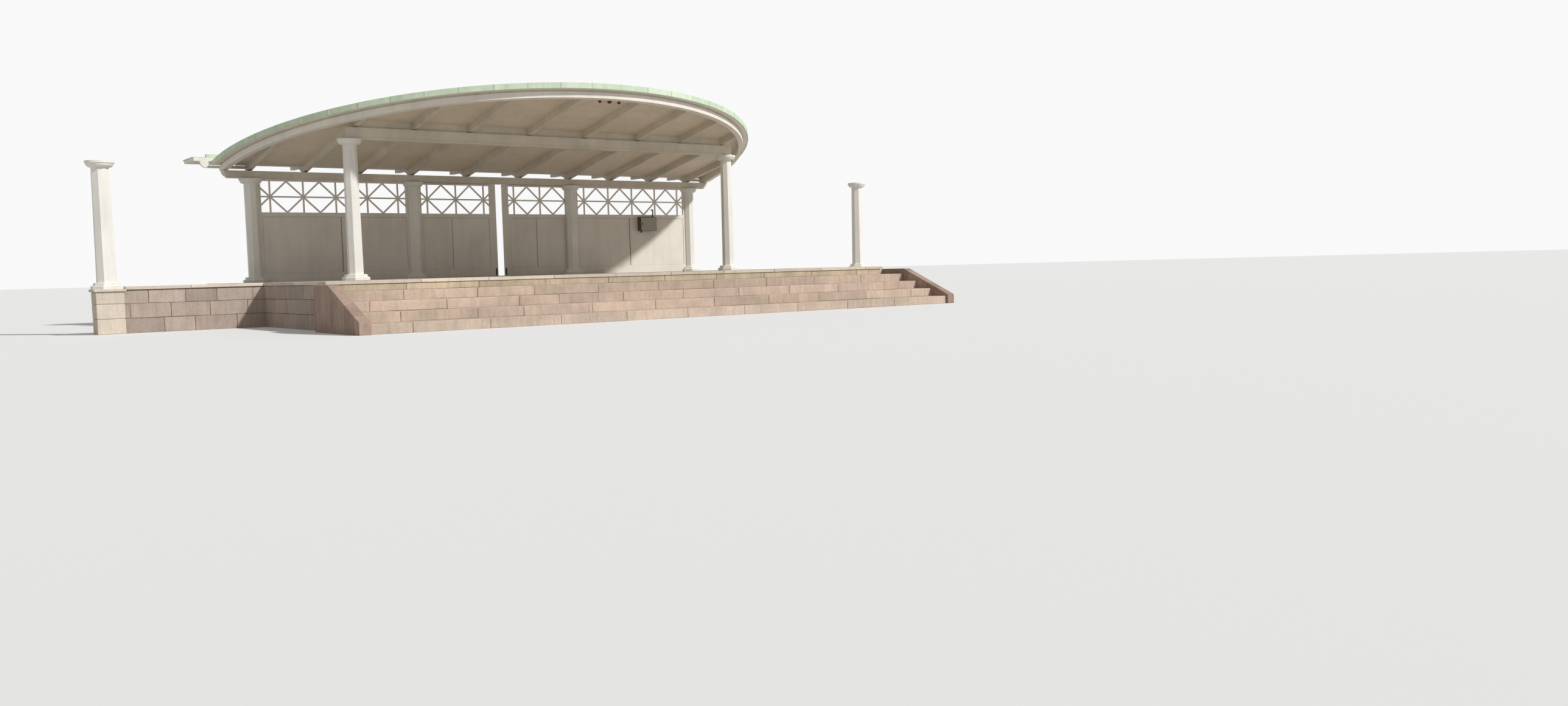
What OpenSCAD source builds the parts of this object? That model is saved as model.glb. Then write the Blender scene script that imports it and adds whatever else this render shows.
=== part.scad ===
// Open timber bandstand: a round-fronted roof on two octagonal front columns and a screen
// wall at the back, on a raised masonry stage with a broad flight of steps.
// Millimetres, +Z up. X runs along the rear wall and -Y points at the audience.
// The origin is on the ground under the middle of the rear wall.

/* [Stage] */
// How far the floor runs out past each end of the long beam
stage_side = 190; // [150:5:400]
// How far the floor's front edge lies in front of the roof
stage_fore = 915; // [700:5:1200]
// Rear wall line to the back edge of the floor
stage_rear = 1050; // [1000:10:1600]
// Thickness of the floor slab
slab_t = 60; // [40:5:100]
// How far the slab stands out past the wall under it
slab_nose = 45; // [20:5:80]

/* [Steps] */
// Height of one step
riser = 165; // [140:1:190]
// Depth of one step
tread_d = 445; // [320:5:520]
// Floor surface down to the top step
first_drop = 175; // [140:1:220]
// Floor edge to the front of the top step
landing_d = 656; // [450:2:900]
// How far each step block reaches under the one above
bearing_d = 70; // [40:5:150]
// How far a cheek wall runs out past the lowest step
cheek_over = 60; // [20:5:150]
// Thickness of a cheek wall
cheek_w = 190; // [160:10:400]
// Length of the cheek wall's level top
cheek_level_l = 730; // [600:10:1000]
// Height of the cheek wall at its front end
cheek_front_h = 195; // [180:5:400]

/* [Free columns] */
// Side of the stage floor to the middle of a free-standing column
free_out = 2595; // [2200:5:3200]
// Front columns to the line of the free-standing columns
free_in = 140; // [0:10:400]
// Height of a free-standing column
free_h = 2252; // [2000:2:2600]
// Across the flats of a free-standing column at its foot
free_foot = 308; // [260:1:340]
// Across the flats of a free-standing column under its cap
free_neck = 268; // [230:1:300]
// Stage floor down to the top of the square stone under it
plinth_drop = 40; // [0:5:80]
// Width of the square stone under it
plinth_w = 510; // [500:10:700]
// Thickness of that stone
plinth_t = 45; // [40:5:100]
// Width of the pier under the stone
pier_w = 450; // [400:10:490]
// Width of the low wall between the stage and the pier
wing_w = 320; // [200:10:400]

/* [Columns and posts] */
// Inner side of the roof edge to the middle of a front column
column_in = 397; // [380:1:700]
// Rear wall line to the front columns
front_y = 3200; // [2900:10:3600]
// Across the flats of a column at its foot
column_foot = 275; // [240:1:320]
// Across the flats of a column under its cap
column_neck = 246; // [200:1:280]
// Across the flats of a wall post
post_w = 270; // [240:1:300]
// Diameter of a cap
cap_w = 470; // [400:5:520]
// Height of the level part of a cap
cap_t = 40; // [24:1:80]
// Height of the rounded part under it
cap_flare = 72; // [40:1:100]
// Across the flats of the lower step of a base
base_w = 490; // [430:5:530]
// Height of that step
base_t = 66; // [50:1:110]
// Across the flats of the upper step of a base
base_upper_w = 410; // [360:5:450]
// Height of the upper step
base_upper_t = 52; // [30:1:80]

/* [Rear wall] */
// End of the long beam to the middle of an end post
post_in = 555; // [450:5:800]
// Floor to the underside of the long beam
wall_h = 2226; // [2100:2:2400]
// Thickness of the wall
wall_t = 60; // [40:2:80]
// Height of the closed lower wall
panel_h = 1495; // [1300:5:1600]
// Height of the rail over the sunk panels
panel_rail = 95; // [60:5:160]
// Width of the upright frame members at its ends
stile_w = 62; // [40:2:100]
// Width of the joint between two panels
joint_w = 22; // [4:1:30]
// Middle of a bay to the joint between its panels
joint_x = -90; // [-300:10:300]
// Height of the foot rail
foot_rail = 190; // [120:5:260]
// How far the panels are sunk
panel_sink = 8; // [4:1:14]
// Thickness of the plate under the long beam
plate_t = 20; // [12:1:30]
// How far that plate stands out in front of the wall line
plate_out = 100; // [80:5:120]
// Rear face of the posts
post_back = 40; // [40:1:45]

/* [Lattice] */
// Distance between the stars
star_pitch = 700; // [600:5:800]
// Width of a lattice bar
bar_w = 34; // [20:1:50]
// Thickness of a lattice bar
bar_t = 24; // [16:1:40]
// Height of the rail over the lattice
lattice_rail = 44; // [30:1:80]
// Width of the uprights at the ends of a bay's lattice
lattice_end = 50; // [30:1:80]

/* [Doors] */
// Width of a door
door_w = 2010; // [1960:2:2060]
// Edge of a closed door to the middle of the post in front of it
door_lap = 21; // [0:1:60]
// Thickness of a door
door_t = 45; // [35:1:55]
// Width of a door's stiles
door_stile = 156; // [130:2:180]
// Where the meeting edge of the left door stands
door_meet_x = 30; // [0:1:40]
// How far the doors stand apart
door_gap = 180; // [100:5:260]
// Running gap between the wall and the doors
door_play = 10; // [6:1:15]
// Height of the rail in the floor
rail_h = 8; // [5:1:12]
// Width of that rail
rail_w = 20; // [12:1:30]
// Running gap over the rail
rail_gap = 0.3; // [0.2:0.1:1]
// Height of the guide over the doors
guide_h = 20; // [18:1:45]
// Running gap over a door and over its tongue
guide_gap = 6; // [5:1:12]
// How far a door slides
door_run = 1900; // [1500:10:1950]

/* [Beams] */
// Height of the long beam on the rear wall
beam_h = 135; // [120:1:160]
// Depth of that beam
beam_d = 240; // [220:2:280]
// Outside of the roof edge to the end of the beam
beam_in = 25; // [10:5:60]
// How deep the rafters are notched over the front beam
beam_notch = 11; // [4:1:20]
// Height of the front beam
front_beam_h = 230; // [225:1:240]
// Depth of the front beam
front_beam_d = 200; // [160:5:240]
// How far it runs past the middle of each front column
front_beam_over = 95; // [80:5:200]
// Height of the lip along its foot
lip_h = 36; // [20:1:60]
// How far the lip stands out
lip_out = 14; // [6:1:24]

/* [Rafters] */
// Rise of the ceiling for each unit towards the front
pitch = 0.196; // [0.19:0.001:0.2]
// Width of a rafter
rafter_w = 90; // [70:2:110]
// Upright depth of a rafter under the ceiling
rafter_d = 144; // [120:1:170]
// Places of the rafters over a bay, as shares of its width
rafter_share = [0.338, 0.674]; // [0.3:0.001:0.7]
// Depth of a rafter's tail at its end
tail_d = 75; // [60:1:90]
// Thickness of the boards between the rafters over the front beam
blocking_t = 30; // [20:1:40]

/* [Roof] */
// Radius of the roof's round front
roof_r = 6155; // [6100:5:6200]
// Centre of that round, behind the wall line
roof_centre_y = 270; // [150:10:300]
// Thickness of the ceiling boards
ceiling_t = 30; // [20:1:40]
// Top of the long beam down to the foot of the roof edge at the wall line
edge_sink = 9; // [6:1:20]
// Upright height of the white board round the roof
fascia_h = 116; // [100:1:140]
// Thickness of that board
fascia_t = 112; // [60:1:130]
// Height of the sunk band over it
frieze_h = 50; // [30:1:60]
// How far the band is sunk
frieze_sink = 42; // [20:1:60]
// Thickness of the board over that band, under the metal's overhang
soffit_t = 14; // [10:1:25]
// Height of the metal edge
metal_h = 81; // [70:1:110]
// How far the metal edge stands out
metal_out = 120; // [80:1:160]
// How far the metal's drip edge hangs down
drip_h = 18; // [15:1:30]
// Thickness of the drip edge
drip_t = 10; // [6:1:16]
// Height of the metal roof's raised rim
rim_h = 20; // [10:1:30]
// Width of that rim
rim_w = 60; // [40:1:90]

/* [Rear eave] */
// How far the level eave behind the wall runs out past the roof edge
eave_out = 485; // [400:5:900]
// Depth of that eave, behind the long beam
eave_d = 830; // [700:10:1000]
// Top of the long beam to the underside of the eave
eave_rise = 195; // [190:1:210]
// Thickness of the eave's boards
eave_t = 66; // [50:1:80]
// Thickness of the metal on the eave
eave_metal_t = 18; // [10:1:24]
// Height of the metal upstand between the roof and the eave
upstand_h = 60; // [30:5:120]
// End of the eave to the end of a bracket
bracket_in = 120; // [80:5:200]
// Height of a bracket
bracket_h = 138; // [120:1:160]
// Height of the bracket's arm
bracket_arm = 52; // [40:1:60]
// Width of the bracket's upturned end
bracket_end = 167; // [130:1:180]
// Thickness of the bracket
bracket_t = 80; // [60:1:100]

/* [Fittings] */
// Width of the switch box
box_w = 480; // [400:10:600]
// Height of the switch box
box_h = 350; // [250:10:450]
// Depth of the switch box
box_d = 160; // [100:5:200]
// Middle of the bay to the middle of the switch box
box_out = 394; // [0:1:800]
// Floor to the foot of the switch box
box_z = 1075; // [900:5:1200]
// Outside diameter of the conduit
conduit_d = 32; // [25:1:50]
// Diameter of the middle ceiling light
light_d = 96; // [60:2:120]
// Depth of a ceiling light
light_h = 50; // [40:5:100]
// Roof edge to the ceiling lights
light_in = 635; // [500:5:900]
// Middle of the stage to the middle light
light_x = 155; // [0:5:300]
// Distance between two ceiling lights
light_pitch = 227; // [150:5:300]

/* [Hidden] */

steps = 4;
hair = 0.02;                               // keeps faces that meet from overlapping
beam_half = roof_r - beam_in;              // half the length of the long beam
end_post_x = beam_half - post_in;
mid_post_x = door_w + door_lap;            // middle of the stage to a middle post
stage_half = beam_half + stage_side;       // half the width of the stage floor
stage_front = roof_r - roof_centre_y + stage_fore;
free_x = stage_half + free_out;
free_y = front_y - free_in;
floor_z = first_drop + steps * riser;      // stage floor above the ground
slab_z = floor_z - slab_t;                 // underside of the floor slab
plinth_z = floor_z - plinth_drop;          // top of the stones under the free columns
top_step_z = floor_z - first_drop;         // surface of the top step
core_half = stage_half - slab_nose;        // half-width of the masonry under the slab
core_front = stage_front - slab_nose;      // front face of that masonry
beam_z = floor_z + wall_h;                 // underside of the long beam
beam_top = beam_z + beam_h;
plate_z = beam_z - plate_t;                // underside of the plate
octagon = 1 / cos(22.5);                   // across corners over across flats
reach = roof_r + 2 * roof_centre_y;        // longer than any rafter
shelf_z = plate_z - lattice_rail;          // underside of the rail over the lattice
door_y = post_back + door_play;            // front face of the doors
door_top = beam_z - guide_h - guide_gap;   // top edge of a door, under its tongue
track_half = door_meet_x + door_gap + door_w + door_run + 80;
left_door_x = door_meet_x - door_w / 2;    // middle of the left door
right_door_x = door_meet_x + door_gap + door_w / 2;
bay_x = (mid_post_x + end_post_x) / 2;     // middle of a bay
bay_w = end_post_x - mid_post_x - post_w;  // clear width of a bay
rafter_x = concat([mid_post_x / 3, mid_post_x],
                  [for (s = rafter_share) mid_post_x + s * (end_post_x - mid_post_x)],
                  [end_post_x]);
front_x = edge_half(roof_r - fascia_t, -front_y) - column_in;
front_beam_half = front_x + front_beam_over;
front_beam_top = rafter_z(front_beam_d / 2 - front_y) + beam_notch;
front_beam_z = front_beam_top - front_beam_h;
soffit_z = beam_top + eave_rise;           // underside of the eave
eave_front = beam_d / 2;                   // the eave starts behind the long beam
eave_rear = eave_front + eave_d;
eave_half = roof_r + eave_out;

white = [0.93, 0.92, 0.88];
granite = [0.76, 0.67, 0.62];
concrete = [0.80, 0.77, 0.72];
verdigris = [0.66, 0.80, 0.66];

// Height of the rafters' underside at y; they are cut 5 mm over the long beam's back edge
function rafter_z(y) = beam_top - 5 + pitch * (beam_d / 2 - y);
// The same for the underside of the ceiling, and for the foot of the roof edge
function ceiling_z(y) = rafter_z(y) + rafter_d;
function edge_z(y) = beam_top - edge_sink - pitch * y;
// Half the width of the round of radius r at y
function edge_half(r, y) = sqrt(r * r - (roof_centre_y - y) * (roof_centre_y - y));

// A solid with an outline in the YZ plane, from x0 to x1
module along_x(x0, x1, outline) {
    translate([x0, 0, 0])
        rotate([90, 0, 90])
            linear_extrude(x1 - x0)
                polygon(outline);
}

// A solid with an outline in the XZ plane, from y0 to y1
module along_y(y0, y1) {
    translate([0, y1, 0])
        rotate([90, 0, 0])
            linear_extrude(y1 - y0)
                children();
}

module box_from(low, high) {
    translate(low) cube(high - low);
}

// Keeps the right half as drawn, or mirrors it to the left
module side(s) {
    if (s < 0) mirror([1, 0, 0]) children();
    else children();
}

// A slab that rises with the ceiling, over a whole width, between two levels at the wall line
module rising_slab(z0, z1, y_back) {
    far = reach + roof_centre_y;
    along_x(-2 * roof_r, 2 * roof_r,
            [[-far, z0 + pitch * far], [y_back, z0 - pitch * y_back],
             [y_back, z1 - pitch * y_back], [-far, z1 + pitch * far]]);
}

module roof_disc(r) {
    translate([0, roof_centre_y, floor_z])
        cylinder(h = 2 * (wall_h + beam_h), r = r, $fn = 480);
}

// A column of eight sides with two flats facing the audience: a base of two steps, a
// tapered shaft and a round cap; h is its whole height, foot and neck are the shaft's widths
module column(h, foot, neck) {
    shaft_z = base_t + base_upper_t;
    cap_z = h - cap_t - cap_flare;
    cap_r = cap_w / 2;
    cap_foot = neck / 2 * octagon + 10;
    bulge = cap_r - 14 - cap_foot;
    outline = [[0, 0], [base_w, 0], [base_w, base_t - 12], [base_w - 30, base_t],
               [base_upper_w, base_t], [base_upper_w, shaft_z - 15], [base_upper_w - 40, shaft_z],
               [foot, shaft_z], [neck, cap_z + 8], [0, cap_z + 8]];
    rotate([0, 0, 22.5])
        rotate_extrude($fn = 8)
            polygon([for (p = outline) [p[0] / 2 * octagon, p[1]]]);
    translate([0, 0, cap_z])
        rotate_extrude($fn = 96)
            polygon(concat([[0, 0]],
                [for (a = [0 : 15 : 90]) [cap_foot + bulge * sin(a), cap_flare * (1 - cos(a))]],
                [[cap_r, cap_flare], [cap_r, cap_flare + cap_t], [0, cap_flare + cap_t]]));
}

// The space that a wall post takes out of the wall beside it, with 2 mm to spare at its cap
module post_space(x) {
    h = wall_h - plate_t;
    translate([x, 0, floor_z]) {
        column(h, post_w, post_w);
        translate([0, 0, h - cap_t - cap_flare - 2])
            cylinder(h = cap_t + cap_flare + 3, r = cap_w / 2 + 2, $fn = 96);
    }
}

module stage_base() {
    outline = concat(
        [[stage_rear - slab_nose, 0], [stage_rear - slab_nose, slab_z],
         [-core_front, slab_z], [-core_front, top_step_z - riser]],
        [for (k = [1 : steps - 1])
            for (z = [top_step_z - k * riser, top_step_z - (k + 1) * riser])
                [-(stage_front + landing_d + (k - 1) * tread_d - bearing_d), z]]);
    color(granite) along_x(-core_half, core_half, outline);
}

module floor_slab() {
    color(concrete)
        box_from([-stage_half, -stage_front, slab_z], [stage_half, stage_rear, floor_z]);
}

// Step k, counted from the top, as one course of blocks between the cheek walls
module step(k) {
    front = stage_front + landing_d + (k - 1) * tread_d;
    back = k == 1 ? core_front : front - tread_d - bearing_d;
    z = top_step_z - k * riser;
    color(granite)
        box_from([-stage_half, -front, z], [stage_half, -back, z + riser]);
}

module step_1() { step(1); }
module step_2() { step(2); }
module step_3() { step(3); }
module step_4() { step(4); }

module cheek_wall() {
    front = stage_front + landing_d + (steps - 1) * tread_d + cheek_over;
    color(granite)
        along_x(stage_half, stage_half + cheek_w,
                [[-core_front, 0], [-core_front, slab_z], [-core_front - cheek_level_l, slab_z],
                 [-front, cheek_front_h], [-front, 0]]);
}

module left_cheek_wall() { side(-1) cheek_wall(); }
module right_cheek_wall() { side(1) cheek_wall(); }

module wing_wall() {
    end = free_x - pier_w / 2;
    color(granite) difference() {
        box_from([core_half, -free_y - wing_w / 2, 0], [end, -free_y + wing_w / 2, slab_z]);
        plinth_stone();
    }
    color(concrete)
        box_from([stage_half, -free_y - wing_w / 2 - 30, slab_z],
                 [free_x - plinth_w / 2, -free_y + wing_w / 2 + 30, floor_z]);
}

module left_wing_wall() { side(-1) wing_wall(); }
module right_wing_wall() { side(1) wing_wall(); }

module plinth_stone() {
    translate([free_x, -free_y, 0])
        box_from([-plinth_w / 2, -plinth_w / 2, plinth_z - plinth_t],
                 [plinth_w / 2, plinth_w / 2, plinth_z]);
}

module column_plinth() {
    color(granite) {
        translate([free_x, -free_y, 0])
            box_from([-pier_w / 2, -pier_w / 2, 0], [pier_w / 2, pier_w / 2, plinth_z - plinth_t]);
        plinth_stone();
    }
}

module left_column_plinth() { side(-1) column_plinth(); }
module right_column_plinth() { side(1) column_plinth(); }

module free_column() {
    color(white) translate([free_x, -free_y, plinth_z])
        column(free_h, free_foot, free_neck);
}

module left_free_column() { side(-1) free_column(); }
module right_free_column() { side(1) free_column(); }

module front_column() {
    color(white) translate([front_x, -front_y, floor_z])
        column(front_beam_z - floor_z - hair, column_foot, column_neck);
}

module left_front_column() { side(-1) front_column(); }
module right_front_column() { side(1) front_column(); }

// A wall post is a column cut flat at the back, where the doors run past it
module wall_post(x) {
    color(white) difference() {
        translate([x, 0, floor_z]) column(wall_h - plate_t - hair, post_w, post_w);
        box_from([x - base_w, post_back, floor_z - 1], [x + base_w, base_w, beam_z]);
    }
}

module left_end_post() { side(-1) wall_post(end_post_x); }
module left_mid_post() { side(-1) wall_post(mid_post_x); }
module right_mid_post() { side(1) wall_post(mid_post_x); }
module right_end_post() { side(1) wall_post(end_post_x); }

// A panelled board of width w centred on x = 0: on both faces a sunk field inside a frame,
// and an upright joint between its two panels
module panelled(w, h, t, stile, joint) {
    field_w = w - 2 * stile;
    difference() {
        box_from([-w / 2, 0, 0], [w / 2, t, h]);
        for (y = [-1, t - panel_sink])
            box_from([-field_w / 2, y, foot_rail], [field_w / 2, y + 1 + panel_sink, h - panel_rail]);
        for (y = [-1, t - 2 * panel_sink])
            box_from([joint - joint_w / 2, y, foot_rail],
                     [joint + joint_w / 2, y + 1 + 2 * panel_sink, h - panel_rail]);
    }
}

module bay_wall() {
    color(white) difference() {
        translate([bay_x, -wall_t / 2, floor_z])
            panelled(bay_w, panel_h, wall_t, stile_w, joint_x);
        for (x = [mid_post_x, end_post_x]) post_space(x);
    }
}

module left_bay_wall() { side(-1) bay_wall(); }
module right_bay_wall() { side(1) bay_wall(); }

// A straight bar between two points of the lattice
module bar(a, b) {
    d = b - a;
    translate(a)
        rotate(atan2(d[1], d[0]))
            translate([0, -bar_w / 2]) square([norm(d), bar_w]);
}

// Stars of crossed bars in an opening w wide and h high, centred on the origin
module star_bars(w, h) {
    count = ceil(w / star_pitch);
    intersection() {
        union() {
            bar([-w / 2, 0], [w / 2, 0]);
            for (i = [0 : count - 1]) {
                x = (i - (count - 1) / 2) * star_pitch;
                bar([x, -h / 2], [x, h / 2]);
                for (sx = [-1, 1], sz = [-1, 1])
                    bar([x, 0], [x + sx * star_pitch / 2, sz * h / 2]);
            }
            for (s = [-1, 1]) {
                x = s * count * star_pitch / 2;
                for (sz = [-1, 1]) bar([x, sz * h / 2], [x + s * star_pitch / 2, 0]);
            }
        }
        square([w, h], center = true);
    }
}

// The open upper part of a bay or a door: its frame and the stars in it, from z0 to z1
module lattice(w, t, z0, z1, rail, end) {
    h = z1 - z0 - rail;
    translate([0, 0, z0 + h / 2]) {
        translate([0, (bar_t - t) / 2, 0]) along_y(-bar_t / 2, bar_t / 2)
            star_bars(w - 2 * end, h);
        along_y(-t / 2, t / 2) difference() {
            translate([-w / 2, -h / 2]) square([w, h + rail]);
            square([w - 2 * end, h], center = true);
        }
    }
}

module bay_lattice() {
    color(white) difference() {
        translate([bay_x, 0, 0])
            lattice(bay_w, wall_t, floor_z + panel_h, plate_z, lattice_rail, lattice_end);
        for (x = [mid_post_x, end_post_x]) post_space(x);
    }
}

module left_bay_lattice() { side(-1) bay_lattice(); }
module right_bay_lattice() { side(1) bay_lattice(); }

module door_panel(x) {
    foot = rail_h + rail_gap;
    color(white) translate([x, door_y, floor_z + foot])
        panelled(door_w, panel_h - foot, door_t, door_stile + 24, -120);
}

module left_door_panel() { door_panel(left_door_x); }
module right_door_panel() { door_panel(right_door_x); }

module door_lattice(x) {
    rail = door_top - shelf_z;
    color(white) translate([x, door_y + door_t / 2, 0]) {
        lattice(door_w, door_t, floor_z + panel_h, door_top, rail, door_stile);
        box_from([-door_w / 2 + door_stile, -bar_t / 4, door_top],
                 [door_w / 2 - door_stile, bar_t / 4, beam_z - guide_gap]);
    }
}

module left_door_lattice() { door_lattice(left_door_x); }
module right_door_lattice() { door_lattice(right_door_x); }

// Two strips under the long beam that guide the doors' tongues, and the rail they run on
module door_track() {
    mid = door_y + door_t / 2;
    slot = bar_t / 4 + guide_gap;
    color("dimgray") {
        for (s = [-1, 1])
            translate([0, mid + s * (slot + bar_t / 4), 0])
                box_from([-track_half, -bar_t / 4, beam_z - guide_h], [track_half, bar_t / 4, beam_z]);
        box_from([-track_half, mid - rail_w / 2, floor_z],
                 [track_half, mid + rail_w / 2, floor_z + rail_h]);
    }
}

// The long beam has a quarter round at each end
module long_beam() {
    color(white) translate([0, 0, beam_z]) along_y(-beam_d / 2, beam_d / 2) {
        translate([-beam_half + beam_h, 0]) square([2 * (beam_half - beam_h), beam_h]);
        for (s = [-1, 1])
            intersection() {
                translate([s * (beam_half - beam_h), beam_h]) circle(r = beam_h, $fn = 96);
                translate([s > 0 ? beam_half - beam_h : -beam_half, 0]) square(beam_h);
            }
    }
}

module head_plate() {
    color(white)
        box_from([-beam_half + beam_h / 2, -plate_out, plate_z],
                 [beam_half - beam_h / 2, post_back, beam_z]);
}

module front_beam() {
    z = front_beam_z;
    d = front_beam_d / 2;
    color(white) translate([0, -front_y, 0]) along_x(-front_beam_half, front_beam_half,
        [[-d - lip_out, z], [d + lip_out, z], [d + lip_out, z + lip_h], [d, z + lip_h],
         [d, front_beam_top], [-d, front_beam_top], [-d, z + lip_h], [-d - lip_out, z + lip_h]]);
}

// Boards that close the gaps between the rafters over the front beam
module beam_blocking() {
    y0 = -front_y - blocking_t / 2;
    y1 = y0 + blocking_t;
    color(white) for (i = [0 : 5]) {
        x0 = i < 3 ? -rafter_x[3 - i] : rafter_x[i - 3];
        x1 = i < 3 ? -rafter_x[2 - i] : rafter_x[i - 2];
        along_x(x0 + rafter_w / 2, x1 - rafter_w / 2,
                [[y0, front_beam_top], [y1, front_beam_top], [y1, ceiling_z(y1)],
                 [y0, ceiling_z(y0)]]);
    }
    color(white) along_x(-rafter_x[0] + rafter_w / 2, rafter_x[0] - rafter_w / 2,
        [[y0, front_beam_top], [y1, front_beam_top], [y1, ceiling_z(y1)], [y0, ceiling_z(y0)]]);
}

// Outline of a rafter seen from the side: the straight part, its seat on the long beam and
// the curved tail behind it
function tail_outline() = let (
        end = eave_rear - 20,
        r = eave_rise - tail_d,
        n = 12)
    concat([[eave_front, beam_top - 5]],
           [for (i = [0 : n])
               [eave_front + 60 + 3 * r * (1 - cos(90 * i / n)), beam_top + r * sin(90 * i / n)]],
           [[end, soffit_z - tail_d], [end, soffit_z], [eave_front, soffit_z],
            [eave_front, ceiling_z(eave_front)]]);

module rafter(x) {
    outline = concat([[-reach, ceiling_z(-reach)], [-reach, rafter_z(-reach)]], tail_outline());
    intersection() {
        along_x(x - rafter_w / 2, x + rafter_w / 2, outline);
        union() {
            roof_disc(roof_r - fascia_t);
            box_from([0, 0, floor_z], [roof_r, eave_rear, soffit_z + eave_t]);
        }
    }
}

module rafter_set() {
    color(white) difference() {
        for (x = rafter_x) rafter(x);
        box_from([0, -front_y - front_beam_d / 2, front_beam_z],
                 [front_beam_half, -front_y + front_beam_d / 2, front_beam_top]);
        box_from([0, -beam_d / 2, beam_z], [beam_half, beam_d / 2, beam_top]);
    }
}

module left_rafters() { side(-1) rafter_set(); }
module right_rafters() { side(1) rafter_set(); }

module ceiling_boards() {
    level = ceiling_z(0);
    color(white) intersection() {
        rising_slab(level, level + ceiling_t, eave_front);
        roof_disc(roof_r - fascia_t);
    }
}

module ring(r_out, r_in, z0, z1) {
    intersection() {
        rising_slab(z0, z1, eave_front);
        difference() {
            roof_disc(r_out);
            roof_disc(r_in);
        }
    }
}

// White board round the roof; its two ends stand on the long beam
module fascia_ring() {
    z = edge_z(0);
    color(white) difference() {
        ring(roof_r, roof_r - fascia_t, z, z + fascia_h);
        box_from([-roof_r, -beam_d / 2, beam_z], [roof_r, beam_d, beam_top]);
    }
}

// A sunk upright band and, on it, the board under the metal's overhang
module frieze_ring() {
    z0 = edge_z(0) + fascia_h;
    z1 = z0 + frieze_h;
    color(white) {
        ring(roof_r - frieze_sink, roof_r - fascia_t, z0, z1);
        ring(roof_r + metal_out - drip_t - 2, roof_r - fascia_t, z1 - soffit_t, z1);
    }
}

module metal_roof() {
    z0 = edge_z(0) + fascia_h + frieze_h;
    z1 = z0 + metal_h;
    color(verdigris) difference() {
        intersection() {
            rising_slab(z0 - drip_h, z1, eave_front);
            roof_disc(roof_r + metal_out);
        }
        intersection() {
            rising_slab(z1 - rim_h, z1 + rim_h, 0);
            roof_disc(roof_r + metal_out - rim_w);
        }
        intersection() {
            rising_slab(z0 - 2 * drip_h, z0, 2 * eave_front);
            roof_disc(roof_r + metal_out - drip_t);
        }
        intersection() {
            rising_slab(z0 - 2 * drip_h, ceiling_z(0) + ceiling_t, 2 * eave_front);
            roof_disc(roof_r - fascia_t);
        }
    }
}

module rear_eave() {
    color(white)
        box_from([-eave_half, eave_front, soffit_z], [eave_half, eave_rear, soffit_z + eave_t]);
}

module eave_metal() {
    z0 = soffit_z + eave_t;
    z1 = z0 + eave_metal_t;
    x = roof_r + metal_out + bracket_in;
    color(verdigris) {
        box_from([-eave_half - 12, eave_front, z0], [eave_half + 12, eave_rear + 12, z1]);
        box_from([-x, eave_front, z0], [x, eave_front + bracket_t, z1 + upstand_h]);
    }
}

// Arms beside the last rafters that carry the ends of the eave
module eave_brackets() {
    x0 = rafter_x[4] + rafter_w / 2;
    x1 = eave_half - bracket_in;
    z1 = soffit_z;
    z0 = z1 - bracket_h;
    r = bracket_end - 40;
    color(white) for (s = [-1, 1]) side(s)
        along_y(eave_front, eave_front + bracket_t) {
            translate([x0, z0]) square([x1 - r - x0, bracket_arm]);
            intersection() {
                translate([x1 - r, z0 + r]) circle(r = r, $fn = 96);
                translate([x1 - r, z0]) square(r);
            }
            translate([x1 - bracket_end, z0 + bracket_arm]) square([bracket_end - r, z1 - z0 - bracket_arm]);
            translate([x1 - r, z0 + r]) square([r, z1 - z0 - r]);
        }
}

// The box hangs on the right bay; its conduit turns back through the lattice
module switch_box() {
    x = bay_x + box_out;
    y = -wall_t / 2;
    top = floor_z + box_z + box_h;
    turn = floor_z + panel_h + 4 * conduit_d - top;
    color("gray") {
        box_from([x - box_w / 2, y - box_d, floor_z + box_z], [x + box_w / 2, y, top]);
        translate([x + (box_w - conduit_d) / 2 - 4, y - conduit_d / 2, top]) {
            cylinder(h = turn, d = conduit_d, $fn = 48);
            translate([0, 0, turn]) sphere(d = conduit_d, $fn = 48);
            translate([0, 0, turn]) rotate([-90, 0, 0])
                cylinder(h = wall_t + conduit_d / 2, d = conduit_d, $fn = 48);
        }
    }
}

module ceiling_lights() {
    y = roof_centre_y + light_in - roof_r;
    color("sienna") difference() {
        for (i = [-1 : 1]) {
            d = i == 0 ? light_d : 0.7 * light_d;
            translate([light_x + i * light_pitch, y, ceiling_z(y) - light_h])
                cylinder(h = 2 * light_h, d = d, $fn = 48);
        }
        rising_slab(ceiling_z(0), ceiling_z(0) + 4 * light_h, 0);
    }
}

stage_base();
floor_slab();
step_1();
step_2();
step_3();
step_4();
left_cheek_wall();
right_cheek_wall();
left_wing_wall();
right_wing_wall();
left_column_plinth();
right_column_plinth();
left_free_column();
right_free_column();
left_front_column();
right_front_column();
left_end_post();
left_mid_post();
right_mid_post();
right_end_post();
left_bay_wall();
right_bay_wall();
left_bay_lattice();
right_bay_lattice();
left_door_panel();
right_door_panel();
left_door_lattice();
right_door_lattice();
door_track();
long_beam();
head_plate();
front_beam();
beam_blocking();
left_rafters();
right_rafters();
ceiling_boards();
fascia_ring();
frieze_ring();
metal_roof();
rear_eave();
eave_metal();
eave_brackets();
switch_box();
ceiling_lights();
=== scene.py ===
"""An open timber bandstand with a round-fronted roof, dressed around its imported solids.

Metres, +Z up. X runs along the rear wall, -Y points at the audience, and the ground is at Z = 0.
"""

import math
import random

import bmesh
import bpy
from mathutils import Matrix, Vector


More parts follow.
